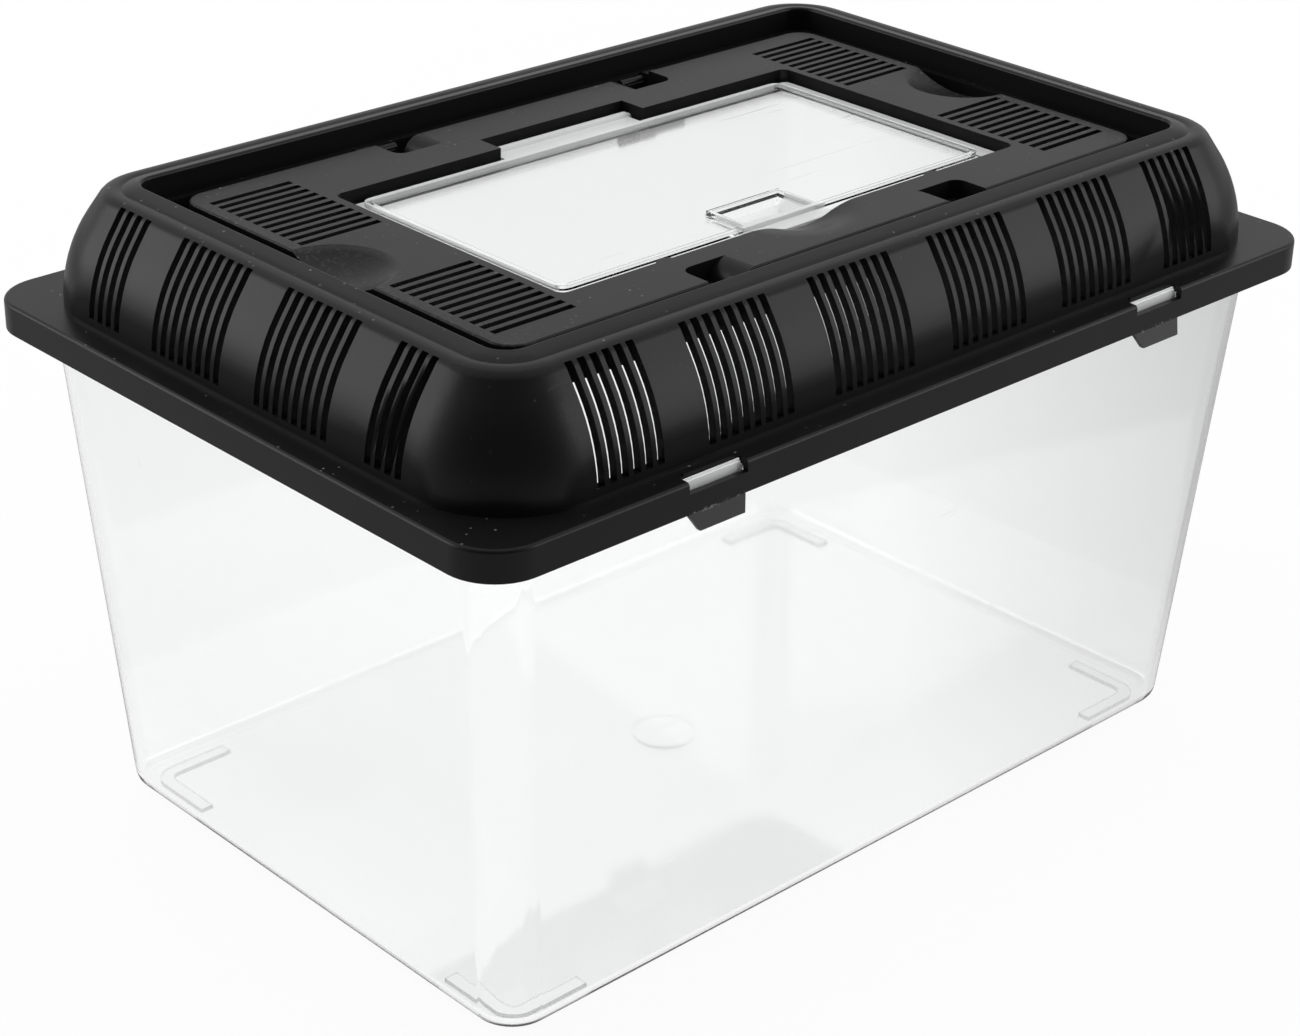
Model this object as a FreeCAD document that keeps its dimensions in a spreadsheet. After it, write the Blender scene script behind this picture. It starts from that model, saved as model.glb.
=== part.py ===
import FreeCAD, Part
import math
import os
import Sketcher

# Breeding box: a clear tapered tank, a black vented hood that caps it, a black door panel
# hinged in the hood and a clear feeding hatch hinged in the door panel.
# Millimetres, +Z up, long side along X, front towards -Y, origin under the middle of the tank.

document = FreeCAD.newDocument("breeding_box")
sheet = document.addObject("Spreadsheet::Sheet", "sizes")


class Term:
    """A length with its value and the expression over the sheet that gives it."""

    def __init__(self, value, text):
        self.value = value
        self.text = text

    def __add__(self, other):
        other = term(other)
        return Term(self.value + other.value, "(%s + %s)" % (self.text, other.text))

    def __sub__(self, other):
        other = term(other)
        return Term(self.value - other.value, "(%s - %s)" % (self.text, other.text))

    def __mul__(self, other):
        other = term(other)
        return Term(self.value * other.value, "(%s * %s)" % (self.text, other.text))

    def __truediv__(self, other):
        other = term(other)
        return Term(self.value / other.value, "(%s / %s)" % (self.text, other.text))

    def __neg__(self):
        return term(0) - self

    def __rmul__(self, other):
        return term(other) * self

    def __rsub__(self, other):
        return term(other) - self


def term(value):
    return value if isinstance(value, Term) else Term(float(value), repr(float(value)))


def sine(angle):
    return Term(math.sin(math.radians(angle.value)), "sin(%s * 1 deg)" % angle.text)


def cosine(angle):
    return Term(math.cos(math.radians(angle.value)), "cos(%s * 1 deg)" % angle.text)


def size(name, value):
    """Put one driving dimension in the sheet and hand it back as a term."""
    size.row += 1
    cell = "B%d" % size.row
    sheet.set("A%d" % size.row, name)
    sheet.set(cell, repr(float(value)))
    sheet.setAlias(cell, name)
    return Term(float(value), "sizes." + name)


size.row = 0

# Common values
overrun = size("overrun", 3.0)
running_clearance = size("running_clearance", 0.05)
vent_pitch = size("vent_pitch", 4.4)
vent_gap_share = size("vent_gap_share", 0.6)
vent_width = vent_pitch * vent_gap_share
group_step = vent_pitch * size("group_step_share", 4.45)

# Hood sizes
flange_length = size("flange_length", 359.0)
flange_width = size("flange_width", 242.0)
flange_corner = size("flange_corner", 16.5)
flange_top = size("flange_top", 177.0)
flange_thickness = size("flange_thickness", 2.0)
flange_round = size("flange_round", 1.2)
skirt_height = size("skirt_height", 9.8)
skirt_thickness = size("skirt_thickness", 2.0)
ledge_width = size("ledge_width", 8.5)
hood_wall = size("hood_wall", 2.4)
dome_corner = size("dome_corner", 33.5)
dome_radius = size("dome_radius", 50.0)
dome_lean = size("dome_lean", 34.5)
shoulder_height = size("shoulder_height", 34.0)
shoulder_radius = size("shoulder_radius", 5.0)
shoulder_lean = size("shoulder_lean", 85.0)
crease_inset = size("crease_inset", 19.6)
crease_width = size("crease_width", 3.0)
crease_depth = size("crease_depth", 0.45)
rim_inset = size("rim_inset", 25.9)
rim_height = size("rim_height", 37.4)
rim_fall = size("rim_fall", 0.8)
rim_round = size("rim_round", 1.0)
ledge_height = size("ledge_height", 29.0)
ledge_reach = size("ledge_reach", 2.5)
seat_height = size("seat_height", 24.0)
seat_overlap = size("seat_overlap", 4.5)
seat_corner = size("seat_corner", 6.0)
vent_bottom = size("vent_bottom", 3.4)
vent_top = size("vent_top", 35.4)
vent_reach = size("vent_reach", 20.0)
latch_place = size("latch_place", 96.8)
latch_width = size("latch_width", 22.3)
window_sill = size("window_sill", 3.6)
window_depth = size("window_depth", 3.8)
ridge_length = size("ridge_length", 19.0)
ridge_width = size("ridge_width", 1.0)
ridge_height = size("ridge_height", 0.5)
tab_height = size("tab_height", 4.8)
tab_inset = size("tab_inset", 0.6)
tab_taper = size("tab_taper", 2.5)
tab_lean = size("tab_lean", 2.0)
tab_thinning = size("tab_thinning", 0.4)
barb_height = size("barb_height", 1.2)
barb_reach = size("barb_reach", 0.5)
barb_rise = size("barb_rise", 0.8)

# Tank sizes
foot_height = size("foot_height", 1.6)
foot_width = size("foot_width", 4.5)
foot_leg = size("foot_leg", 29.0)
foot_inset = size("foot_inset", 8.0)
foot_corner = size("foot_corner", 8.0)
base_length = size("base_length", 311.5)
base_width = size("base_width", 200.0)
mouth_length = size("mouth_length", 336.5)
mouth_width = size("mouth_width", 219.5)
tank_corner = size("tank_corner", 14.0)
tank_wall = size("tank_wall", 2.2)
tank_floor = size("tank_floor", 2.4)
base_round = size("base_round", 5.0)
quarter = size("quarter_turn", 90.0)
round_steps = 4
rim_clearance = size("rim_clearance", 0.6)
rim_thickness = size("rim_thickness", 2.2)
lip_height = size("lip_height", 5.2)
lip_thickness = size("lip_thickness", 2.0)
bead_height = size("bead_height", 2.4)
bead_step = size("bead_step", 0.6)
catch_gap = size("catch_gap", 0.5)
catch_depth = size("catch_depth", 0.9)
catch_step = size("catch_step", 0.45)
catch_low = size("catch_low", 1.0)
catch_high = size("catch_high", 1.7)
gate_diameter = size("gate_diameter", 22.0)
gate_height = size("gate_height", 0.5)

# Door panel sizes
door_length = size("door_length", 271.0)
door_front = size("door_front", 77.8)
door_back = size("door_back", 76.3)
door_corner = size("door_corner", 8.0)
door_height = size("door_height", 8.7)
door_plate = size("door_plate", 2.0)
door_wall = size("door_wall", 2.0)
door_round = size("door_round", 0.8)
opening_length = size("opening_length", 196.0)
opening_front = size("opening_front", 57.0)
opening_back = size("opening_back", 48.0)
opening_corner = size("opening_corner", 3.0)
hatch_drop = size("hatch_drop", 6.0)
hatch_shelf = size("hatch_shelf", 4.0)
shelf_corner = size("shelf_corner", 2.0)
shelf_thickness = size("shelf_thickness", 1.7)
grille_start = size("grille_start", 101.0)
grille_length = size("grille_length", 30.0)
grille_first = size("grille_first", 21.6)
grille_gap_share = size("grille_gap_share", 0.55)
grille_width = vent_pitch * grille_gap_share
scoop_radius = size("scoop_radius", 19.5)
scoop_depth = size("scoop_depth", 5.0)
dip_radius = size("dip_radius", 23.4)
dip_offset = size("dip_offset", 5.5)
dip_depth = size("dip_depth", 4.2)
pit_inner = size("pit_inner", 48.5)
pit_outer = size("pit_outer", 60.0)
pit_reach = size("pit_reach", 12.4)
pit_depth = size("pit_depth", 6.1)
pit_corner = size("pit_corner", 4.0)
ramp_start = size("ramp_start", 41.5)
ramp_radius = size("ramp_radius", 8.0)
pit_wall = size("pit_wall", 1.5)
nub_place = size("nub_place", 57.8)
nub_radius = size("nub_radius", 3.9)
nub_reach = size("nub_reach", 2.1)
nub_drop = size("nub_drop", 0.2)
nub_height = size("nub_height", 1.6)
door_pin_radius = size("door_pin_radius", 1.5)
door_pin_tip = size("door_pin_tip", 49.5)
door_pin_behind = size("door_pin_behind", 3.0)
door_pin_drop = size("door_pin_drop", 3.7)
ear_radius = size("ear_radius", 2.4)
ear_width = size("ear_width", 5.5)
cradle_start = size("cradle_start", 51.0)
cradle_width = size("cradle_width", 8.0)
cradle_gap = size("cradle_gap", 0.5)

# Hatch sizes
hatch_side_gap = size("hatch_side_gap", 0.8)
hatch_front_gap = size("hatch_front_gap", 2.2)
hatch_back_gap = size("hatch_back_gap", 2.0)
hatch_plate = size("hatch_plate", 2.0)
frame_side = size("frame_side", 6.2)
frame_front = size("frame_front", 5.8)
frame_back = size("frame_back", 1.5)
frame_corner = size("frame_corner", 4.0)
frame_width = size("frame_width", 2.0)
frame_height = size("frame_height", 1.5)
barrel_place = size("barrel_place", 55.0)
barrel_rise = size("barrel_rise", 1.1)
barrel_radius = size("barrel_radius", 2.2)
barrel_half = size("barrel_half", 29.5)
trunnion_radius = size("trunnion_radius", 1.5)
trunnion_length = size("trunnion_length", 4.0)
trunnion_end_gap = size("trunnion_end_gap", 0.5)
notch_half = size("notch_half", 31.0)
notch_back = size("notch_back", 58.4)
notch_floor_gap = size("notch_floor_gap", 0.8)
notch_wall = size("notch_wall", 5.0)
pull_half = size("pull_half", 15.7)
pull_length = size("pull_length", 18.4)
pull_slope = size("pull_slope", 4.5)
pull_depth = size("pull_depth", 3.6)
pull_wall = size("pull_wall", 1.4)

# Places that follow from the sizes
skirt_bottom = flange_top - skirt_height
flange_under = flange_top - flange_thickness
dome_length = flange_length - 2 * ledge_width
dome_width = flange_width - 2 * ledge_width
door_width = door_front + door_back
door_middle = (door_back - door_front) / 2
seat_top = flange_top + seat_height
door_top = seat_top + door_height
hatch_seat = door_top - hatch_drop
hatch_top = hatch_seat + hatch_plate
door_pin_y = door_back + door_pin_behind
door_pin_z = door_top - door_pin_drop
barrel_z = hatch_seat + barrel_rise


def origin_plane(body, role):
    return [feature for feature in body.Origin.OriginFeatures if feature.Role == role][0]


def new_sketch(body, name, role, offset):
    sketch = body.newObject("Sketcher::SketchObject", name)
    sketch.AttachmentSupport = [(origin_plane(body, role), "")]
    sketch.MapMode = "FlatFace"
    shift = FreeCAD.Vector(0, 0, offset.value)
    sketch.AttachmentOffset = FreeCAD.Placement(shift, FreeCAD.Rotation())
    sketch.setExpression("AttachmentOffset.Base.z", offset.text)
    return sketch


def point(corner):
    return FreeCAD.Vector(corner[0].value, corner[1].value, 0)


def arc(start, end, radius, turn):
    chord = end - start
    side = FreeCAD.Vector(-chord.y, chord.x, 0).normalize()
    rise = math.sqrt(max(radius * radius - chord.Length * chord.Length / 4, 0))
    centre = start + chord / 2 + side * rise * turn
    first, last = (start, end) if turn > 0 else (end, start)
    angles = [math.atan2((spot - centre).y, (spot - centre).x) for spot in (first, last)]
    if angles[1] < angles[0]:
        angles[1] += 2 * math.pi
    circle = Part.Circle(centre, FreeCAD.Vector(0, 0, 1), radius)
    return Part.ArcOfCircle(circle, angles[0], angles[1])


def draw(sketch, *outlines):
    """Add closed outlines. A corner is (x, y) before a straight run, or (x, y, radius, turn)
    before an arc, with turn 1 anticlockwise and -1 clockwise."""
    shapes = []
    rules = []
    bound = []

    def pin(shape, spot, kind, axis, place):
        if abs(place.value) < 1e-9:
            rules.append(Sketcher.Constraint("PointOnObject", shape, spot, axis))
            return
        bound.append((len(rules), place))
        rules.append(Sketcher.Constraint(kind, -1, 1, shape, spot, place.value))

    for corners in outlines:
        first = len(shapes)
        following = corners[1:] + corners[:1]
        ways = [corner[3] if len(corner) > 2 else 1 for corner in corners]
        for index, corner in enumerate(corners):
            here = first + index
            after = (index + 1) % len(corners)
            start, end = point(corner), point(following[index])
            start_spot, end_spot = (1, 2) if ways[index] > 0 else (2, 1)
            after_spot = 1 if ways[after] > 0 else 2
            join = Sketcher.Constraint("Coincident", here, end_spot, first + after, after_spot)
            rules.append(join)
            pin(here, start_spot, "DistanceX", -2, corner[0])
            pin(here, start_spot, "DistanceY", -1, corner[1])
            if len(corner) == 2:
                shapes.append(Part.LineSegment(start, end))
                continue
            radius = corner[2].value
            shapes.append(arc(start, end, radius, ways[index]))
            chord = end - start
            if abs(chord.Length - 2 * radius) > 1e-9:
                bound.append((len(rules), corner[2]))
                rules.append(Sketcher.Constraint("Radius", here, radius))
            elif abs(chord.y) < 1e-9:
                pin(here, 3, "DistanceY", -1, corner[1])
            else:
                pin(here, 3, "DistanceX", -2, corner[0])
    sketch.addGeometry(shapes, False)
    sketch.addConstraint(rules)
    for number, place in bound:
        sketch.setExpression("Constraints[%d]" % number, place.text)


def box(left, right, low, high):
    return [(left, low), (right, low), (right, high), (left, high)]


def rounded(length, width, radius, middle=term(0)):
    """Rounded rectangle about the origin, or about a middle along the second axis."""
    x, y = length / 2, width / 2
    return [
        (-x + radius, middle - y),
        (x - radius, middle - y, radius, 1),
        (x, middle - y + radius),
        (x, middle + y - radius, radius, 1),
        (x - radius, middle + y),
        (-x + radius, middle + y, radius, 1),
        (-x, middle + y - radius),
        (-x, middle - y + radius, radius, 1),
    ]


def volume(body):
    return body.Shape.Volume if body.Tip and not body.Shape.isNull() else 0


def settle(body, before, grows):
    """Recompute and make sure that the last feature really added or removed material."""
    document.recompute()
    change = volume(body) - before
    if abs(change) < 1e-3 or (change > 0) != grows:
        raise RuntimeError("%s changed the volume of %s by %.4f" % (body.Tip.Name, body.Name, change))


def extrude(body, kind, name, sketch, length, backwards=False):
    before = volume(body)
    feature = body.newObject("PartDesign::" + kind, name)
    feature.Refine = False
    feature.Profile = sketch
    feature.Length = length.value
    feature.setExpression("Length", length.text)
    feature.Reversed = backwards
    sketch.Visibility = False
    settle(body, before, kind == "Pad")
    return feature


def pad(body, name, sketch, length, backwards=False):
    return extrude(body, "Pad", name, sketch, length, backwards)


def pocket(body, name, sketch, length, backwards=False):
    return extrude(body, "Pocket", name, sketch, length, backwards)


def loft(body, kind, name, sections):
    before = volume(body)
    feature = body.newObject("PartDesign::" + kind, name)
    feature.Profile = sections[0]
    feature.Sections = sections[1:]
    feature.Ruled = True
    settle(body, before, kind == "AdditiveLoft")
    return feature


def round_edges(body, name, wanted, radius):
    """Fillet the edges of the last feature whose whole length lies in the wanted place."""
    base = body.Tip
    found = [number for number, edge in enumerate(base.Shape.Edges, 1) if wanted(edge.BoundBox)]
    fillet = body.newObject("PartDesign::Fillet", name)
    fillet.Base = (base, ["Edge%d" % number for number in found])
    fillet.Radius = radius.value
    fillet.setExpression("Radius", radius.text)
    document.recompute()
    return fillet


def at(low, high, place):
    """Whether a range of coordinates has shrunk to one place."""
    near = 1e-4
    return abs(low - place.value) < near and abs(high - place.value) < near


def level(height):
    return lambda bounds: at(bounds.ZMin, bounds.ZMax, height)


def at_latches(half, low, high):
    return [box(end * latch_place - half, end * latch_place + half, low, high) for end in (-1, 1)]


def revolve(body, kind, name, sketch, axis_line, angle):
    before = volume(body)
    feature = body.newObject("PartDesign::" + kind, name)
    feature.Profile = sketch
    feature.ReferenceAxis = (sketch, [axis_line])
    feature.Angle = angle
    feature.Midplane = True
    settle(body, before, kind == "Revolution")
    return feature


# Tank: clear tub moulded in one piece, walls drafted in towards the floor
tank = document.addObject("PartDesign::Body", "tank")
tank.Label = "tank"
rim_top = flange_under
tank_rise = rim_top - foot_height
length_draft = (mouth_length - base_length) / tank_rise
width_draft = (mouth_width - base_width) / tank_rise


def tank_section(name, height, inset):
    rise = height - foot_height
    sketch = new_sketch(tank, name, "XY_Plane", height)
    length = base_length + length_draft * rise - 2 * inset
    width = base_width + width_draft * rise - 2 * inset
    draw(sketch, rounded(length, width, tank_corner - inset))
    return sketch


def tub(kind, name, low, high, inset, bottom_round):
    """Drafted tub between two heights whose bottom edge is rounded in short steps."""
    sections = []
    for step in range(round_steps + 1):
        angle = step * quarter / round_steps
        height = low + bottom_round * (1 - cosine(angle))
        around = inset + bottom_round * (1 - sine(angle))
        sections.append(tank_section("%s_section%d" % (name, step), height, around))
    sections.append(tank_section(name + "_mouth", high, inset))
    loft(tank, kind, name, sections)


tub("AdditiveLoft", "tub", foot_height, rim_top, term(0), base_round)
rim_length = flange_length - 2 * skirt_thickness - 2 * rim_clearance
rim_width = flange_width - 2 * skirt_thickness - 2 * rim_clearance
rim_corner = flange_corner - skirt_thickness - rim_clearance
lip_sketch = new_sketch(tank, "rim_outline", "XY_Plane", rim_top)
draw(lip_sketch, rounded(rim_length, rim_width, rim_corner))
pad(tank, "rim", lip_sketch, lip_height, True)
channel_sketch = new_sketch(tank, "channel_outline", "XY_Plane", rim_top - lip_height - overrun)
channel_inset = lip_thickness + bead_step
channel_length, channel_width = rim_length - 2 * channel_inset, rim_width - 2 * channel_inset
channel = rounded(channel_length, channel_width, rim_corner - channel_inset)
draw(channel_sketch, channel, rounded(mouth_length, mouth_width, tank_corner))
pocket(tank, "rim_channel", channel_sketch, overrun + lip_height - rim_thickness, True)
bead_sketch = new_sketch(tank, "bead_outline", "XY_Plane", rim_top - lip_height - overrun)
outside = rounded(rim_length + 2 * overrun, rim_width + 2 * overrun, rim_corner + overrun)
bead = rounded(rim_length - 2 * bead_step, rim_width - 2 * bead_step, rim_corner - bead_step)
draw(bead_sketch, outside, bead)
pocket(tank, "rim_bead", bead_sketch, overrun + lip_height - bead_height, True)
floor_top = foot_height + tank_floor
tub("SubtractiveLoft", "inside", floor_top, rim_top + overrun, tank_wall, base_round - tank_wall)
feet_sketch = new_sketch(tank, "feet_outline", "XY_Plane", term(0))
foot_x = base_length / 2 - foot_inset
foot_y = base_width / 2 - foot_inset
foot_inner = foot_corner - foot_width


def foot(end, side):
    """Outline of the L-shaped foot in one corner, rounded with the corner of the tank."""
    spots = [
        (foot_x, foot_y - foot_leg),
        (foot_x, foot_y - foot_corner, foot_corner, end * side),
        (foot_x - foot_corner, foot_y),
        (foot_x - foot_leg, foot_y),
        (foot_x - foot_leg, foot_y - foot_width),
        (foot_x - foot_corner, foot_y - foot_width, foot_inner, -end * side),
        (foot_x - foot_width, foot_y - foot_corner),
        (foot_x - foot_width, foot_y - foot_leg),
    ]
    return [(end * spot[0], side * spot[1]) + spot[2:] for spot in spots]


draw(feet_sketch, *[foot(end, side) for side in (1, -1) for end in (1, -1)])
pad(tank, "feet", feet_sketch, foot_height + tank_floor / 2)
gate_sketch = new_sketch(tank, "gate_outline", "XY_Plane", foot_height - gate_height)
gate_radius = gate_diameter / 2
draw(gate_sketch, [(gate_radius, term(0), gate_radius, 1), (-gate_radius, term(0), gate_radius, 1)])
pad(tank, "gate_mark", gate_sketch, gate_height + tank_floor / 2)

# Catches on the rim, two steps high, that show in the latch windows of the hood
catch_half = latch_width / 2 - catch_gap
catch_root = rim_top - rim_thickness / 2
catch_inner = rim_width / 2 - catch_depth
steps = (("low", rim_width / 2, catch_low), ("high", rim_width / 2 - catch_step, catch_high))
for name, outer, height in steps:
    sketch = new_sketch(tank, name + "_catches_outline", "XY_Plane", catch_root)
    front, back = [at_latches(catch_half, side * catch_inner, side * outer) for side in (-1, 1)]
    draw(sketch, *(front + back))
    pad(tank, name + "_catches", sketch, rim_thickness / 2 + height)

# Hood: black cap, flange with a skirt, domed vented sides and a seat for the door panel
hood = document.addObject("PartDesign::Body", "hood")
hood.Label = "hood"
flange_sketch = new_sketch(hood, "flange_outline", "XY_Plane", skirt_bottom)
draw(flange_sketch, rounded(flange_length, flange_width, flange_corner))
pad(hood, "flange", flange_sketch, skirt_height)
round_edges(hood, "flange_edge", level(flange_top), flange_round)
skirt_sketch = new_sketch(hood, "skirt_inside", "XY_Plane", skirt_bottom - overrun)
hollow_length, hollow_width = flange_length - 2 * skirt_thickness, flange_width - 2 * skirt_thickness
draw(skirt_sketch, rounded(hollow_length, hollow_width, flange_corner - skirt_thickness))
pocket(hood, "skirt_hollow", skirt_sketch, overrun + skirt_height - flange_thickness, True)
throat_sketch = new_sketch(hood, "throat_outline", "XY_Plane", flange_top + overrun)
throat_length, throat_width = dome_length - 2 * hood_wall, dome_width - 2 * hood_wall
draw(throat_sketch, rounded(throat_length, throat_width, dome_corner - hood_wall))
pocket(hood, "throat", throat_sketch, overrun + flange_thickness + overrun)

lean_sine, lean_cosine = sine(dome_lean), cosine(dome_lean)
bend_x = dome_radius - dome_radius * lean_cosine
bend_z = dome_radius * lean_sine
turn_x = bend_x + (shoulder_height - bend_z) * lean_sine / lean_cosine
top_x = turn_x + shoulder_radius * (lean_cosine - cosine(shoulder_lean))
top_z = shoulder_height + shoulder_radius * (sine(shoulder_lean) - lean_sine)
crease_x = crease_inset - crease_width / 2
crease_z = top_z + (crease_x - top_x) * cosine(shoulder_lean) / sine(shoulder_lean)
roof_under = crease_z - crease_depth - hood_wall
wall_x = rim_inset + ledge_reach
under_x = top_x + hood_wall * cosine(shoulder_lean)
under_z = top_z - hood_wall * sine(shoulder_lean)
dome_profile = [
    (term(0), -flange_thickness),
    (term(0), term(0), dome_radius, -1),
    (bend_x, bend_z),
    (turn_x, shoulder_height, shoulder_radius, -1),
    (top_x, top_z),
    (crease_x, crease_z),
    (crease_inset, crease_z - crease_depth),
    (crease_inset + crease_width / 2, rim_height - rim_fall),
    (rim_inset - rim_round, rim_height, rim_round, -1),
    (rim_inset, rim_height - rim_round),
    (rim_inset, ledge_height),
    (wall_x, ledge_height),
    (wall_x, seat_height - hood_wall),
    (wall_x - hood_wall, seat_height - hood_wall),
    (wall_x - hood_wall, ledge_height - hood_wall),
    (rim_inset - hood_wall, ledge_height - hood_wall),
    (rim_inset - hood_wall, roof_under),
    (under_x, under_z, shoulder_radius - hood_wall, 1),
    (turn_x + hood_wall * lean_cosine, shoulder_height - hood_wall * lean_sine),
    (bend_x + hood_wall * lean_cosine, bend_z - hood_wall * lean_sine, dome_radius - hood_wall, 1),
    (hood_wall, term(0)),
    (hood_wall, -flange_thickness),
]
profile_sketch = new_sketch(hood, "dome_profile", "XZ_Plane", term(0))
left = dome_length / 2
draw(profile_sketch, [(x - left, z + flange_top) + tuple(bend) for x, z, *bend in dome_profile])
path_sketch = new_sketch(hood, "dome_path", "XY_Plane", flange_top)
path = rounded(dome_length, dome_width, dome_corner)
draw(path_sketch, [(-dome_length / 2, term(0))] + path[7:] + path[:7])
before = volume(hood)
dome = hood.newObject("PartDesign::AdditivePipe", "dome")
dome.Profile = profile_sketch
dome.Spine = (path_sketch, [])
dome.Mode = "Frenet"
settle(hood, before, True)

seat_sketch = new_sketch(hood, "seat_outline", "XY_Plane", seat_top)
seat_inset = wall_x - hood_wall / 2
seat_length, seat_width = dome_length - 2 * seat_inset, dome_width - 2 * seat_inset
way_length, way_width = door_length - 2 * seat_overlap, door_width - 2 * seat_overlap
seat_edge = rounded(seat_length, seat_width, dome_corner - seat_inset)
draw(seat_sketch, seat_edge, rounded(way_length, way_width, seat_corner, door_middle))
pad(hood, "seat", seat_sketch, hood_wall, True)


for side, name in ((1, "front"), (-1, "back")):
    outside = side * (flange_width / 2 + overrun)
    sketch = new_sketch(hood, name + "_windows_outline", "XZ_Plane", outside)
    draw(sketch, *at_latches(latch_width / 2, flange_top - window_sill, flange_top + overrun))
    pocket(hood, name + "_windows", sketch, overrun + window_depth, side < 0)
    in_skirt = side * (flange_width / 2 - skirt_thickness / 2)
    sketch = new_sketch(hood, name + "_barbs_outline", "XZ_Plane", in_skirt)
    barb_low = skirt_bottom + barb_rise
    draw(sketch, *at_latches(ridge_length / 2, barb_low, barb_low + barb_height))
    pad(hood, name + "_barbs", sketch, skirt_thickness / 2 + barb_reach, side > 0)
    outer = -side * (flange_width / 2)
    tip = outer - side * tab_lean
    roots = at_latches(latch_width / 2, outer + side * tab_inset, outer + side * skirt_thickness)
    tip_inner = tip + side * (skirt_thickness - tab_thinning)
    tips = at_latches(latch_width / 2 - tab_taper, tip, tip_inner)
    for number, place in enumerate(("left", "right")):
        tab = "%s_%s_tab" % (name, place)
        root_sketch = new_sketch(hood, tab + "_root", "XY_Plane", skirt_bottom)
        draw(root_sketch, roots[number])
        tip_sketch = new_sketch(hood, tab + "_tip", "XY_Plane", skirt_bottom - tab_height)
        draw(tip_sketch, tips[number])
        loft(hood, "AdditiveLoft", tab, [root_sketch, tip_sketch])

ridge_sketch = new_sketch(hood, "ridges_outline", "XY_Plane", flange_top - flange_thickness / 2)
ridge_y = flange_width / 2 - window_depth - ridge_width
ridge_half = ridge_width / 2
ridges = []
for side in (-1, 1):
    ridges += at_latches(ridge_length / 2, side * ridge_y - ridge_half, side * ridge_y + ridge_half)
draw(ridge_sketch, *ridges)
pad(hood, "ridges", ridge_sketch, flange_thickness / 2 + ridge_height)

cradle_sketch = new_sketch(hood, "cradles_outline", "YZ_Plane", cradle_start)
trough = door_pin_radius + running_clearance
cradle_front = door_back + cradle_gap
cradle_back = dome_width / 2 - wall_x + hood_wall / 2
cradle_low = seat_top - hood_wall / 2
cradle = [
    (cradle_front, cradle_low),
    (cradle_back, cradle_low),
    (cradle_back, door_pin_z),
    (door_pin_y + trough, door_pin_z, trough, -1),
    (door_pin_y - trough, door_pin_z),
    (cradle_front, door_pin_z),
]
draw(cradle_sketch, cradle)
pad(hood, "right_cradle", cradle_sketch, cradle_width)
cradle_sketch = new_sketch(hood, "left_cradle_outline", "YZ_Plane", -cradle_start)
draw(cradle_sketch, cradle)
pad(hood, "left_cradle", cradle_sketch, cradle_width, True)


def group_starts(groups):
    """First slot of every group along a side: slots one pitch apart, groups a wider step apart."""
    span = (len(groups) - 1) * group_step + (sum(groups) - len(groups)) * vent_pitch
    place = -span / 2
    starts = []
    for number in groups:
        starts.append(place)
        place = place + (number - 1) * vent_pitch + group_step
    return starts


def repeat(body, name, feature, sketch, axis, count):
    """Repeat a pocket along an axis of its sketch, one vent pitch apart."""
    before = volume(body)
    pattern = body.newObject("PartDesign::LinearPattern", name)
    pattern.Refine = False
    pattern.Originals = [feature]
    pattern.Direction = (sketch, [axis])
    pattern.Occurrences = count
    pattern.Length = ((count - 1) * vent_pitch).value
    pattern.setExpression("Length", ((count - 1) * vent_pitch).text)
    body.Tip = pattern
    settle(body, before, False)


long_groups = (6, 8, 8, 8, 8, 6)
short_groups = (4, 8, 8, 4)
sides = (
    ("front_vents", "XZ_Plane", dome_width / 2 + overrun, long_groups, False),
    ("back_vents", "XZ_Plane", -(dome_width / 2 + overrun), long_groups, True),
    ("right_vents", "YZ_Plane", dome_length / 2 + overrun, short_groups, False),
    ("left_vents", "YZ_Plane", -(dome_length / 2 + overrun), short_groups, True),
)
vent_low, vent_high = flange_top + vent_bottom, flange_top + vent_top
for name, role, offset, groups, backwards in sides:
    for count in sorted(set(groups)):
        starts = [start for start, number in zip(group_starts(groups), groups) if number == count]
        title = "%s_by_%d" % (name, count)
        sketch = new_sketch(hood, title + "_outline", role, offset)
        half = vent_width / 2
        draw(sketch, *[box(start - half, start + half, vent_low, vent_high) for start in starts])
        first = pocket(hood, title + "_first", sketch, overrun + vent_reach, backwards)
        repeat(hood, title, first, sketch, "H_Axis", count)

# Door panel: black inverted tray with grilles, finger scoops, pin pits and the hatch opening
door = document.addObject("PartDesign::Body", "door_panel")
door.Label = "door_panel"
tray_sketch = new_sketch(door, "tray_outline", "XY_Plane", seat_top)
draw(tray_sketch, rounded(door_length, door_width, door_corner, door_middle))
pad(door, "tray", tray_sketch, door_height)
round_edges(door, "tray_edge", level(door_top), door_round)
hollow_sketch = new_sketch(door, "hollow_outline", "XY_Plane", seat_top - overrun)
inside_length, inside_width = door_length - 2 * door_wall, door_width - 2 * door_wall
draw(hollow_sketch, rounded(inside_length, inside_width, door_corner - door_wall, door_middle))
pocket(door, "hollow", hollow_sketch, overrun + door_height - door_plate, True)

under_plate = door_top - door_plate / 2
opening_depth = opening_front + opening_back
opening_middle = (opening_back - opening_front) / 2
shelf_under = hatch_seat - shelf_thickness
coaming_sketch = new_sketch(door, "coaming_outline", "XY_Plane", under_plate)
coaming_length, coaming_depth = opening_length + 2 * door_wall, opening_depth + 2 * door_wall
coaming_corner = opening_corner + door_wall
draw(coaming_sketch, rounded(coaming_length, coaming_depth, coaming_corner, opening_middle))
pad(door, "coaming", coaming_sketch, under_plate - shelf_under, True)


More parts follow.
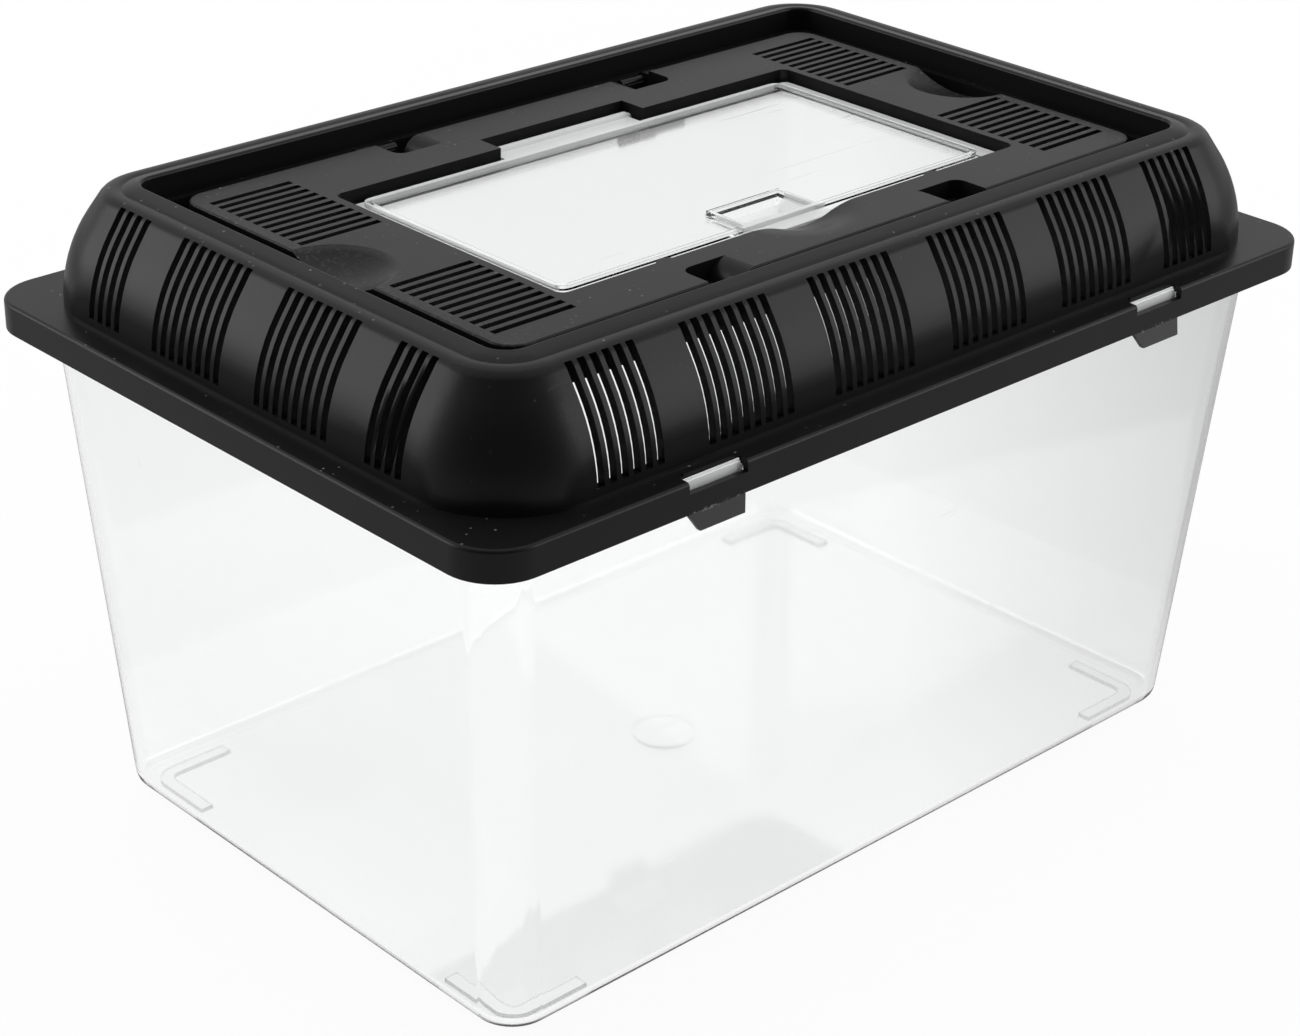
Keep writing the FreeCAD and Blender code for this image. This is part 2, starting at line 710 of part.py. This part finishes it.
# Hollow dishes for fingertips: a bowl is added under the plate, then its inside is cut away
def dish(name, role, edge, away, radius, depth, flowing=False):
    """A dish about an upright axis at an edge, with a crisp rim or one that flows into the plate."""

    def curve(top):
        start = edge - away * radius
        if not flowing:
            ball = (radius * radius + depth * depth) / (2 * depth)
            return [(start, top, ball, away)]
        bend = (radius * radius + depth * depth) / (4 * depth)
        middle = edge - away * radius / 2
        return [(start, top, bend, -away), (middle, top - depth / 2, bend, away)]

    def outline(low, high):
        return [(edge, low - depth), (edge, high), (edge - away * radius, high)] + curve(low)

    bowl = outline(door_top - door_wall, under_plate)
    inside = outline(door_top, door_top + overrun)
    for kind, corners in (("Revolution", bowl), ("Groove", inside)):
        sketch = new_sketch(door, "%s_%s_outline" % (name, kind.lower()), role, term(0))
        draw(sketch, corners)
        revolve(door, kind, "%s_%s" % (name, kind.lower()), sketch, "Edge1", 180)


dish("left_scoop", "XZ_Plane", -door_length / 2, -1, scoop_radius, scoop_depth)
dish("right_scoop", "XZ_Plane", door_length / 2, 1, scoop_radius, scoop_depth)
dish("front_dip", "YZ_Plane", dip_offset - opening_front, 1, dip_radius, dip_depth, True)

# Pits at the long edges, with a curved ramp on their inner side, for the hinge pins and the fingers
for side, name, edge in ((-1, "front", door_front), (1, "back", door_back)):
    sketch = new_sketch(door, name + "_pit_walls", "XY_Plane", under_plate)
    inner, outer = ramp_start - pit_wall, pit_outer + pit_wall
    near, far = side * (edge - pit_reach - pit_wall), side * (edge - door_wall / 2)
    draw(sketch, *[box(end * inner, end * outer, near, far) for end in (-1, 1)])
    pad(door, name + "_pit_blocks", sketch, pit_depth + pit_wall - door_plate / 2, True)
    sketch = new_sketch(door, name + "_pits_outline", "XZ_Plane", -side * (edge + overrun))
    pits = []
    for end in (-1, 1):
        pits.append([
            (end * ramp_start, door_top, ramp_radius, -end),
            (end * pit_inner, door_top - pit_depth),
            (end * pit_outer, door_top - pit_depth),
            (end * pit_outer, door_top + overrun),
            (end * ramp_start, door_top + overrun),
        ])
    draw(sketch, *pits)
    pocket(door, name + "_pits", sketch, overrun + pit_reach, side > 0)
    back_wall = side * (edge - pit_reach)

    def in_corner(bounds):
        ends = [at(bounds.XMin, bounds.XMax, end * pit_outer) for end in (-1, 1)]
        return any(ends) and at(bounds.YMin, bounds.YMax, back_wall)

    round_edges(door, name + "_pit_corners", in_corner, pit_corner)

# Hinge notch behind the hatch opening, the opening with its shelf, and the bores for the trunnions
notch_floor = barrel_z - barrel_radius - notch_floor_gap
notch_side = notch_half + notch_wall
sketch = new_sketch(door, "notch_block_outline", "XY_Plane", under_plate)
draw(sketch, box(-notch_side, notch_side, opening_back, notch_back + pit_wall))
pad(door, "notch_block", sketch, under_plate - notch_floor + pit_wall, True)
above = door_top + overrun
sketch = new_sketch(door, "opening_outline", "XY_Plane", above)
draw(sketch, rounded(opening_length, opening_depth, opening_corner, opening_middle))
pocket(door, "opening", sketch, above - hatch_seat)
sketch = new_sketch(door, "shelf_outline", "XY_Plane", above)
shelf_length, shelf_depth = opening_length - 2 * hatch_shelf, opening_depth - 2 * hatch_shelf
draw(sketch, rounded(shelf_length, shelf_depth, shelf_corner, opening_middle))
pocket(door, "shelf_opening", sketch, above - shelf_under + overrun)
sketch = new_sketch(door, "notch_outline", "XY_Plane", above)
draw(sketch, box(-notch_half, notch_half, opening_back - hatch_shelf - overrun, notch_back))
pocket(door, "notch", sketch, above - notch_floor)


def disc(across, up, radius):
    return [(across + radius, up, radius, 1), (across - radius, up, radius, 1)]


bore_end = notch_half + trunnion_length
for side, name in ((1, "right"), (-1, "left")):
    sketch = new_sketch(door, name + "_bore_outline", "YZ_Plane", side * bore_end)
    draw(sketch, disc(barrel_place, barrel_z, trunnion_radius + running_clearance))
    pocket(door, name + "_bore", sketch, trunnion_length + overrun, side < 0)

# Four grilles at the ends, and nubs that overhang the front edge of the hatch
sketch = new_sketch(door, "grilles_outline", "XY_Plane", above)
grille_count = 11
grille_last = grille_first + (grille_count - 1) * vent_pitch
bars = []
for end in (-1, 1):
    for middle in (-grille_last, grille_first):
        near, far = middle - grille_width / 2, middle + grille_width / 2
        bars.append(box(end * grille_start, end * (grille_start + grille_length), near, far))
draw(sketch, *bars)
first = pocket(door, "grilles_first", sketch, overrun + door_plate + door_plate / 2)
repeat(door, "grilles", first, sketch, "V_Axis", grille_count)
sketch = new_sketch(door, "nubs_outline", "XY_Plane", door_top - nub_drop)
nub_y = -(opening_front + nub_radius - nub_reach)
draw(sketch, *[disc(end * nub_place, nub_y, nub_radius) for end in (-1, 1)])
pad(door, "nubs", sketch, nub_height, True)

# Hinge ears behind the panel, each with a stub pin that points to the middle
root = door_back - door_wall / 2
ear = [
    (root, door_pin_z - ear_radius),
    (door_pin_y, door_pin_z - ear_radius, ear_radius, 1),
    (door_pin_y, door_pin_z + ear_radius),
    (root, door_pin_z + ear_radius),
]
for side, name in ((1, "right"), (-1, "left")):
    sketch = new_sketch(door, name + "_ear_outline", "YZ_Plane", side * pit_outer)
    draw(sketch, ear)
    pad(door, name + "_ear", sketch, ear_width, side < 0)
    sketch = new_sketch(door, name + "_pin_outline", "YZ_Plane", side * door_pin_tip)
    draw(sketch, disc(door_pin_y, door_pin_z, door_pin_radius))
    pad(door, name + "_pin", sketch, pit_outer - door_pin_tip + ear_width / 2, side < 0)

# Hatch: clear plate with a raised frame, a hinge barrel with trunnions and a sunken finger pull
hatch = document.addObject("PartDesign::Body", "hatch")
hatch.Label = "hatch"
hatch_front = opening_front - hatch_front_gap
hatch_back = opening_back - hatch_back_gap
hatch_length = opening_length - 2 * hatch_side_gap
hatch_depth = hatch_front + hatch_back
hatch_middle = (hatch_back - hatch_front) / 2
hatch_corner = opening_corner - hatch_side_gap


sketch = new_sketch(hatch, "plate_outline", "XY_Plane", hatch_seat)
draw(sketch, rounded(hatch_length, hatch_depth, hatch_corner, hatch_middle))
pad(hatch, "plate", sketch, hatch_plate)
ring_front, ring_back = hatch_front - frame_front, hatch_back - frame_back
ring_length, ring_depth = hatch_length - 2 * frame_side, ring_front + ring_back
ring_middle = (ring_back - ring_front) / 2


def ring(inset):
    length, depth = ring_length - 2 * inset, ring_depth - 2 * inset
    return rounded(length, depth, frame_corner - inset, ring_middle)


sketch = new_sketch(hatch, "frame_outline", "XY_Plane", hatch_top - hatch_plate / 2)
draw(sketch, ring(term(0)), ring(frame_width))
pad(hatch, "frame", sketch, hatch_plate / 2 + frame_height)
sketch = new_sketch(hatch, "tab_outline", "XY_Plane", hatch_seat)
draw(sketch, box(-barrel_half, barrel_half, hatch_back - overrun, barrel_place))
pad(hatch, "tab", sketch, hatch_plate)
sketch = new_sketch(hatch, "barrel_outline", "YZ_Plane", -barrel_half)
draw(sketch, disc(barrel_place, barrel_z, barrel_radius))
pad(hatch, "barrel", sketch, 2 * barrel_half)
trunnion_end = bore_end - trunnion_end_gap
sketch = new_sketch(hatch, "trunnions_outline", "YZ_Plane", -trunnion_end)
draw(sketch, disc(barrel_place, barrel_z, trunnion_radius))
pad(hatch, "trunnions", sketch, 2 * trunnion_end)


# The pull is a hopper behind the front of the frame, with a rim as high as the frame
def pull(inset, depth):
    """Outline of the hopper, closing in on three sides as it goes down."""
    narrow = inset + depth / pull_depth * pull_slope
    half = pull_half - narrow
    return box(-half, half, inset - ring_front, pull_length - ring_front - narrow)


sketch = new_sketch(hatch, "pull_rim_outline", "XY_Plane", hatch_top - hatch_plate / 2)
draw(sketch, pull(term(0), term(0)), pull(pull_wall, term(0)))
pad(hatch, "pull_rim", sketch, hatch_plate / 2 + frame_height)
for kind, name, top, inset in (
    ("AdditiveLoft", "pull_cup", hatch_seat, term(0)),
    ("SubtractiveLoft", "pull", hatch_top, pull_wall),
):
    sections = []
    for place, depth in (("top", term(0)), ("floor", pull_depth)):
        sections.append(new_sketch(hatch, "%s_%s" % (name, place), "XY_Plane", top - depth))
        draw(sections[-1], pull(inset, depth))
    loft(hatch, kind, name, sections)

# Every object has to be sound before the pieces are written
document.recompute()
for item in document.Objects:
    if "Invalid" in item.State or "Error" in item.State:
        raise RuntimeError("%s is in state %s" % (item.Name, item.State))
os.makedirs("parts", exist_ok=True)
for body in (tank, hood, door, hatch):
    shape = body.Shape
    if shape.isNull() or not shape.isValid() or len(shape.Solids) != 1:
        raise RuntimeError("%s is not one sound solid" % body.Label)
    shape.exportStep("parts/%s.step" % body.Label)
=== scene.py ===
import math

import bmesh
import bpy
from mathutils import Matrix, Vector


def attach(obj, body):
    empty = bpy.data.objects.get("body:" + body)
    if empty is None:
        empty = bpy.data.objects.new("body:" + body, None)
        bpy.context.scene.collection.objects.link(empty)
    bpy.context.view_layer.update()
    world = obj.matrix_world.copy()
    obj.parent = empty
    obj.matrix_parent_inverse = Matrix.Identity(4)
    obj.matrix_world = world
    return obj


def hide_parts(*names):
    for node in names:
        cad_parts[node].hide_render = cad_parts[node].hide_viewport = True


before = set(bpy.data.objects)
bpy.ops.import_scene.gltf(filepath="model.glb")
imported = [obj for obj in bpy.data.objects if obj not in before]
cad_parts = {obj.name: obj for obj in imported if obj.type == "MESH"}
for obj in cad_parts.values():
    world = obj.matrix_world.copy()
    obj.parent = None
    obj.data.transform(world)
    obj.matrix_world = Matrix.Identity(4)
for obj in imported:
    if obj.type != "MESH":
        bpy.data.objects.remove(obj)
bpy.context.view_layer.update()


# Tank: a tapered tub of clear polystyrene, moulded in one shot through the middle of its floor.
# Its rim turns out under the hood, four L-shaped feet stand below the floor, and it has the
# fine rubs and haze of a tub that has been stacked and wiped.
class Shade:
    """A shader socket that takes part in Python arithmetic by adding Math nodes."""

    def __init__(self, tree, socket=None):
        self.tree = tree
        self.socket = socket

    def add(self, kind, settings=None, inputs=None, output=0):
        """Adds a node, its settings first and then its sockets, and gives one of its outputs."""
        node = self.tree.nodes.new("ShaderNode" + kind)
        for name, value in (settings or {}).items():
            setattr(node, name, value)
        for name, value in (inputs or {}).items():
            if isinstance(value, Shade):
                self.tree.links.new(value.socket, node.inputs[name])
            else:
                node.inputs[name].default_value = value
        return Shade(self.tree, node.outputs[output] if node.outputs else None)

    def maths(self, operation, first, second):
        return self.add("Math", {"operation": operation}, {0: first, 1: second})

    def __add__(self, other):
        return self.maths("ADD", self, other)

    __radd__ = __add__

    def __mul__(self, other):
        return self.maths("MULTIPLY", self, other)

    __rmul__ = __mul__

    def __sub__(self, other):
        return self.maths("SUBTRACT", self, other)

    def __rsub__(self, other):
        return self.maths("SUBTRACT", other, self)

    def either(self, other):
        """The larger of two values."""
        return self.maths("MAXIMUM", self, other)

    def size(self):
        """The value without its sign."""
        return self.either(0 - self)

    def above(self, low, high):
        """0 below low, 1 above high, a straight rise between them."""
        return self.add("MapRange", {"clamp": True}, {"Value": self, "From Min": low, "From Max": high})

    def axis(self, number):
        return self.add("SeparateXYZ", None, {"Vector": self}, output=number)

    def noise(self, scale, detail, roughness=0.5):
        sockets = {"Vector": self, "Scale": scale, "Detail": detail, "Roughness": roughness}
        return self.add("TexNoise", None, sockets)

    def blend(self, first, second):
        """The first colour where the value is 0, and the second where it is 1."""
        sockets = {"Factor": self, "A": first, "B": second}
        return self.add("Mix", {"data_type": "RGBA"}, sockets, output=2)


def new_finish(name):
    finish = bpy.data.materials.new(name)
    finish.use_nodes = True
    finish.node_tree.nodes.clear()
    return finish, Shade(finish.node_tree)


weld_gap, cut_gap, on_cut = 2e-6, 1e-7, 1e-6
flat_angle, sharp_angle, smooth_angle = math.radians(0.2), math.radians(32), math.radians(38)
edge_steps = 2


def on_middle(edge):
    """True for an edge in one of the two upright planes through the middle of the box."""
    return any(all(abs(vert.co[side]) < on_cut for vert in edge.verts) for side in (0, 1))


def softened(node, name, width, reshape=None):
    """A copy of a CAD solid whose sharp edges are broken by a small moulding radius."""
    mesh = bmesh.new()
    mesh.from_mesh(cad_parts[node].data)
    bmesh.ops.remove_doubles(mesh, verts=mesh.verts, dist=weld_gap)
    # The middle cuts keep a face that runs round an opening from closing over it
    for across in ((1, 0, 0), (0, 1, 0)):
        whole = mesh.verts[:] + mesh.edges[:] + mesh.faces[:]
        bmesh.ops.bisect_plane(mesh, geom=whole, dist=cut_gap, plane_co=(0, 0, 0), plane_no=across)
    cut = {edge for edge in mesh.edges if on_middle(edge)}
    kept = {vert for edge in cut for vert in edge.verts}
    bmesh.ops.dissolve_limit(
        mesh, angle_limit=flat_angle, verts=[vert for vert in mesh.verts if vert not in kept],
        edges=[edge for edge in mesh.edges if edge not in cut],
    )
    sharp = [edge for edge in mesh.edges if edge.is_manifold and edge.calc_face_angle(0) > sharp_angle]
    bmesh.ops.bevel(
        mesh, geom=sharp, offset=width, offset_type="OFFSET", affect="EDGES", segments=edge_steps,
        profile=0.5, material=-1, clamp_overlap=True,
    )
    if reshape:
        reshape(mesh)
    for face in mesh.faces:
        face.smooth = True
    for edge in mesh.edges:
        edge.smooth = not edge.is_manifold or edge.calc_face_angle(0) < smooth_angle
    shape = bpy.data.meshes.new(name)
    mesh.to_mesh(shape)
    mesh.free()
    piece = bpy.data.objects.new(name, shape)
    bpy.context.collection.objects.link(piece)
    normals = piece.modifiers.new("even_light", "WEIGHTED_NORMAL")
    normals.keep_sharp = True
    return piece


styrene_index, styrene_gloss = 1.57, 0.35
clear_low, clear_high = (0.978, 0.984, 0.984, 1), (0.996, 1.0, 0.998, 1)
# Painted light: a whitish, matt coat mixed over the clear plastic where its rims would gather light and
# glint
painted_light_white, painted_light_rough = (0.93, 0.94, 0.94, 1), 0.3
haze_scale, ripple_scale, patch_scale, clear_rub_scale = 9.0, 22.0, 14.0, 3.0
clear_rub_turn, clear_rub_stretch = (0.4, 0.9, 0.3), (6.0, 260.0, 90.0)
clear_rough, haze_rough, scratch_rough = 0.03, 0.04, 0.12


def clear_styrene(name, seed, edges):
    """Clear plastic with a whitish coat of painted light where edges is 1, standing for the light its
    rims gather.
    """
    finish, shade = new_finish(name)
    place = shade.add("TexCoord", output="Object")
    haze = place.noise(haze_scale + seed, 4.0)
    x_turn, y_turn, z_turn = clear_rub_turn
    turned = shade.add("Mapping", None, {
        "Vector": place, "Rotation": (x_turn, y_turn, z_turn + seed), "Scale": clear_rub_stretch,
    })
    rubs = turned.noise(clear_rub_scale, 2.0).above(0.66, 0.74)
    patches = place.noise(patch_scale, 1.0).above(0.52, 0.66)
    scratches = rubs * patches
    ripple = place.noise(ripple_scale, 0.0)
    height = ripple + scratches * 0.4
    bump = shade.add("Bump", None, {"Strength": 0.06, "Distance": 0.0006, "Height": height})
    clear = shade.add("BsdfPrincipled", None, {
        "Base Color": haze.blend(clear_low, clear_high),
        "Roughness": haze.above(0.35, 0.8) * haze_rough + scratches * scratch_rough + clear_rough,
        "IOR": styrene_index, "Specular IOR Level": styrene_gloss, "Transmission Weight": 1.0,
        "Normal": bump,
    })
    # Painted light: the whitish coat that stands for the glow of the rims
    painted_light_coat = shade.add("BsdfPrincipled", None, {
        "Base Color": painted_light_white, "Roughness": painted_light_rough, "Normal": bump,
    })
    surface = shade.add("MixShader", None, {0: edges(place), 1: clear, 2: painted_light_coat})
    shade.add("OutputMaterial", None, {"Surface": surface})
    return finish


rim_foot, rim_fade, latch_place, catch_half = 0.1692, 0.0006, 0.0968, 0.0112
# Painted light on the tank's rim, strongest on the catches that show in the latch windows
rim_painted_light, catch_painted_light = 0.2, 0.75


def rim_catches(place):
    """How much painted light covers the rim: strong on the stretches that show in the latch windows,
    faint on the rest.
    """
    along = (place.axis(0).size() - latch_place).size()
    catches = 1 - along.above(catch_half, catch_half + rim_fade)
    return place.axis(2).above(rim_foot, rim_foot + rim_fade) * (catches * catch_painted_light + rim_painted_light)


tank_edge = 0.0004
tank = softened("tank", "clear_tub", tank_edge)
tank.data.materials.append(clear_styrene("clear_tub_styrene", 0.0, rim_catches))
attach(tank, "tank")
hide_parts("tank")

# Hood: a black cap moulded in one piece that drops over the tank's rim. Its domed sides are
# slotted for air, finger tabs hang from the skirt under the latch windows, and the satin black
# carries mould grain, pale rub marks and a little dust.
black_index, satin_gloss, dull_gloss, dull_rough = 1.49, 0.3, 0.14, 0.6
black_low, black_high = (0.0042, 0.0040, 0.0043, 1), (0.0080, 0.0076, 0.0080, 1)
rub_grey, dust_grey, scuff_grey = (0.09, 0.09, 0.088, 1), (0.3, 0.29, 0.27, 1), (0.3, 0.3, 0.29, 1)
cloud_scale, grain_scale, wave_scale, worn_scale, rub_scale = 11.0, 1400.0, 35.0, 17.0, 2.5
rub_turn, rub_stretch = (0.2, 0.5, 0.8), (9.0, 420.0, 150.0)
speck_scale, scuff_scale = 260.0, 800.0
slot_foot, slot_top = 0.1778, 0.1782


def black_plastic(name, seed, dust, handled):
    """Satin black with grain, rubs and dust, pale where handled is 1, and a less shiny copy on upright
    faces above the slots' foot as painted shade.
    """
    finish, shade = new_finish(name)
    place = shade.add("TexCoord", output="Object")
    normal = shade.add("TexCoord", output="Normal")
    sideways = normal.axis(0).size().either(normal.axis(1).size())
    slots = place.axis(2).above(slot_foot, slot_top) * sideways.above(0.965, 0.985)
    cloud = place.noise(cloud_scale + seed, 5.0, 0.6)
    grain = place.noise(grain_scale, 2.0)
    wave = place.noise(wave_scale, 1.0)
    x_turn, y_turn, z_turn = rub_turn
    turned = shade.add("Mapping", None, {
        "Vector": place, "Rotation": (x_turn, y_turn, z_turn + seed), "Scale": rub_stretch,
    })
    lines = turned.noise(rub_scale, 2.0).above(0.68, 0.75)
    worn = place.noise(worn_scale + seed, 2.0).above(0.5, 0.68)
    rubs = lines * worn
    cells = {"Vector": place, "Scale": speck_scale}
    nearest = shade.add("TexVoronoi", None, cells)
    chosen = shade.add("TexVoronoi", None, cells, output=1).axis(0)
    specks = (1 - nearest.above(0.06, 0.13)) * chosen.above(0.5, 0.54)
    settled = specks * normal.axis(2).above(0.5, 0.95) * (worn * 0.6 + 0.4) * dust
    scuffs = place.noise(scuff_scale, 2.0).above(0.54, 0.64)
    black = cloud.blend(black_low, black_high)
    rubbed = (rubs * 0.3).blend(black, rub_grey)
    dusted = settled.blend(rubbed, dust_grey)
    marked = (scuffs * handled(place) * 0.7).blend(dusted, scuff_grey)
    height = grain * 0.5 + wave * 1.2 - rubs * 0.4
    bump = shade.add("Bump", None, {"Strength": 0.12, "Distance": 0.0004, "Height": height})
    satin = shade.add("BsdfPrincipled", None, {
        "Base Color": marked, "Roughness": cloud * 0.14 + 0.26 + rubs * 0.1 + settled * 0.25,
        "IOR": black_index, "Specular IOR Level": satin_gloss, "Normal": bump,
    })
    # Painted shade: a less shiny, rougher copy of the black, mixed in on upright faces above the slots'
    # foot so they read darker
    painted_shade_copy = shade.add("BsdfPrincipled", None, {
        "Base Color": black, "Roughness": dull_rough,
        "IOR": black_index, "Specular IOR Level": dull_gloss, "Normal": bump,
    })
    surface = shade.add("MixShader", None, {0: slots, 1: satin, 2: painted_shade_copy})
    shade.add("OutputMaterial", None, {"Surface": surface})
    return finish


skirt_foot, bend_least, bend_most = 0.1672, 0.0002, 0.0008
tab_half, tab_fade = 0.0095, 0.0010


def tab_roots(place):
    """1 along the bends where the finger tabs leave the skirt."""
    across = (place.axis(0).size() - latch_place).size()
    height = (place.axis(2) - skirt_foot).size()
    return (1 - across.above(tab_half, tab_half + tab_fade)) * (1 - height.above(bend_least, bend_most))


core_length, core_width, core_least, core_most = 0.146, 0.0875, 0.006, 0.0245
throat_foot, inward_least, upward_most, vent_backing = 0.1735, 0.25, 0.1, 0.00045


def off_core(place):
    """The level way from the box inside the dome's corners out to a place."""
    return Vector((
        math.copysign(max(abs(place.x) - core_length, 0), place.x),
        math.copysign(max(abs(place.y) - core_width, 0), place.y), 0,
    ))


def back_vents(mesh):
    """Brings the hidden inside of the vented wall in a little, so that less light shows through."""
    mesh.normal_update()
    inside = set()
    for face in mesh.faces:
        middle = face.calc_center_median()
        outward = off_core(middle)
        on_wall = middle.z > throat_foot and core_least < outward.length < core_most
        inward = -face.normal.dot(outward.normalized())
        if on_wall and face.normal.z < upward_most and inward > inward_least:
            inside.update(face.verts)
    for vert in inside:
        vert.co -= off_core(vert.co).normalized() * vent_backing


hood_edge, hood_dust = 0.0001, 0.8
hood = softened("hood", "vented_hood", hood_edge, back_vents)
hood.data.materials.append(black_plastic("hood_black", 0.0, hood_dust, tab_roots))
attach(hood, "hood")
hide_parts("hood")

# Door panel: a black panel moulded as an inverted tray, with grilles at its ends, finger scoops,
# pits along its long edges and two stub pins behind it that lie in the hood's cradles.
scoop_start, scoop_end, scoop_wear = 0.108, 0.134, 0.08


def scoop_hollows(place):
    """Faint on the ends of the panel, where fingers lift it by its scoops."""
    return place.axis(0).size().above(scoop_start, scoop_end) * scoop_wear


door_edge, door_seed, door_dust = 0.0003, 1.7, 0.6
door = softened("door_panel", "door_tray", door_edge)
door.data.materials.append(black_plastic("door_black", door_seed, door_dust, scoop_hollows))
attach(door, "door")
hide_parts("door_panel")

# Hatch: a clear plate of the same styrene as the tank, with a raised frame and a sunken finger
# pull, that turns on a barrel with two trunnions behind the opening in the door panel.
frame_side, frame_front, frame_back, frame_fade = 0.0900, 0.0500, 0.0420, 0.0005
# Painted light on the hatch's frame and pull, lightening where they would look dark through the clear
# plastic
pull_half, pull_back, frame_painted_light = 0.0175, 0.0345, 0.6


def hatch_frame(place):
    """Painted light, partly covering the pull and the border of the plate over the door panel's shelf.
    """
    across, backward = place.axis(0).size(), place.axis(1)
    forward = 0 - backward
    sides = across.above(frame_side, frame_side + frame_fade)
    front = forward.above(frame_front, frame_front + frame_fade)
    back = backward.above(frame_back, frame_back + frame_fade)
    pull = 1 - across.above(pull_half, pull_half + frame_fade)
    pull = pull * forward.above(pull_back, pull_back + frame_fade)
    return sides.either(front.either(back)).either(pull) * frame_painted_light


hatch_edge, hatch_seed = 0.0003, 1.3
hatch = softened("hatch", "feeding_hatch", hatch_edge)
hatch.data.materials.append(clear_styrene("hatch_styrene", hatch_seed, hatch_frame))
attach(hatch, "hatch")
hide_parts("hatch")

# Studio: a white sweep that runs out of sight and three soft lamps, with the camera at the
# place that the photograph was taken from.
sweep_half = 4.0
floor_mesh = bmesh.new()
bmesh.ops.create_grid(floor_mesh, x_segments=8, y_segments=8, size=sweep_half)
floor_shape = bpy.data.meshes.new("sweep")
floor_mesh.to_mesh(floor_shape)
floor_mesh.free()
floor = bpy.data.objects.new("sweep", floor_shape)
bpy.context.collection.objects.link(floor)
floor_finish, shade = new_finish("white_sweep")
near_mirror, far_mirror, mirror_share = 0.03, 0.09, 0.4


def seen(shade, straight, through):
    """How much white the camera sees, straight, through clear plastic and in close reflections."""
    direct = shade.add("LightPath", output="Is Camera Ray")
    passed = shade.add("LightPath", output="Is Transmission Ray")
    scattered = shade.add("LightPath", output="Diffuse Depth").above(0.0, 1.0)
    mirrored = shade.add("LightPath", output="Is Glossy Ray")
    close = 1 - shade.add("LightPath", output="Ray Length").above(near_mirror, far_mirror)
    return direct * straight + passed * (1 - scattered) * through + mirrored * close * mirror_share


white, painted_shadow_grey = (1, 1, 1, 1), (0.55, 0.55, 0.55, 1)
paper_white, paper_shaded_in_reflections = (0.82, 0.82, 0.82, 1), (0.45, 0.45, 0.45, 1)
near_white, far_white, through_white = 0.95, 0.05, 0.94
# Painted shade: the paper is greyer in glossy reflections than when lit, which dims its reflection in
# the black plastic
reflection_shaded_paper = shade.add("LightPath", output="Is Glossy Ray").blend(paper_white, paper_shaded_in_reflections)
paper = shade.add("BsdfDiffuse", None, {"Color": reflection_shaded_paper})
spot = shade.add("TexCoord", output="Object")
far = spot.axis(0).size().either(spot.axis(1).size()).above(0.3, 0.9)
# Painted shadow: seen through clear plastic, the sweep's glow greys towards the right-front of the box,
# where its shadow would fall
painted_shadow_side = (spot.axis(0) - spot.axis(1)).above(0.12, 0.42)
through = shade.add("LightPath", output="Is Transmission Ray")
glow = shade.add("Emission", None, {"Color": (painted_shadow_side * through).blend(white, painted_shadow_grey)})
bright = seen(shade, near_white + far * far_white, through_white)
sweep = shade.add("MixShader", None, {0: bright, 1: paper, 2: glow})
shade.add("OutputMaterial", None, {"Surface": sweep})
floor_shape.materials.append(floor_finish)

room_least, room_rise, from_behind = 0.07, 0.58, (0.69, 0.72, 0.0)
world = bpy.data.worlds.new("white_room")
bpy.context.scene.world = world
world.use_nodes = True
world.node_tree.nodes.clear()
shade = Shade(world.node_tree)
ray = shade.add("TexCoord", output="Generated")
along = shade.add("VectorMath", {"operation": "DOT_PRODUCT"}, {0: ray, 1: from_behind}, output="Value")
room_light = along.above(-0.7, 0.2) * room_rise + room_least
backdrop = seen(shade, 1.0, 1.0)
room = shade.add("Background", None, {
    "Color": white, "Strength": backdrop + (1 - backdrop) * room_light,
})
shade.add("OutputWorld", None, {"Surface": room})


def soft_lamp(name, place, target, size, power):
    light = bpy.data.lights.new(name, "AREA")
    light.size = size
    light.energy = power
    lamp = bpy.data.objects.new(name, light)
    lamp.location = place
    lamp.rotation_euler = (Vector(target) - Vector(place)).to_track_quat("-Z", "Y").to_euler()
    bpy.context.collection.objects.link(lamp)
    return lamp


top_box = soft_lamp("top_box", (0.0, 0.1, 1.5), (0, 0, 0.2), 1.4, 13)
top_box.visible_glossy = False
soft_lamp("left_box", (-1.1, 1.04, 0.65), (0, 0, 0.15), 1.0, 6.0)
soft_lamp("right_box", (1.0, -1.15, 0.65), (0, 0, 0.15), 1.0, 5.2)

camera_place, lens_length, sensor_width = (-0.6013, -0.6239, 0.5187), 80.06, 36.0
turn, rise, roll = math.radians(-43.584), math.radians(26.583), math.radians(1.166)
back = Vector((math.sin(turn) * math.cos(rise), -math.cos(turn) * math.cos(rise), math.sin(rise)))
level = Vector((math.cos(turn), math.sin(turn), 0))
upright = back.cross(level)
right = level * math.cos(roll) + upright * math.sin(roll)
above = upright * math.cos(roll) - level * math.sin(roll)
lens = bpy.data.cameras.new("camera")
lens.sensor_width = sensor_width
lens.lens = lens_length
camera = bpy.data.objects.new("camera", lens)
axes = Matrix((right, above, back)).transposed().to_4x4()
camera.matrix_world = Matrix.Translation(camera_place) @ axes
bpy.context.collection.objects.link(camera)
bpy.context.scene.camera = camera
bpy.context.scene.view_settings.view_transform = "Standard"
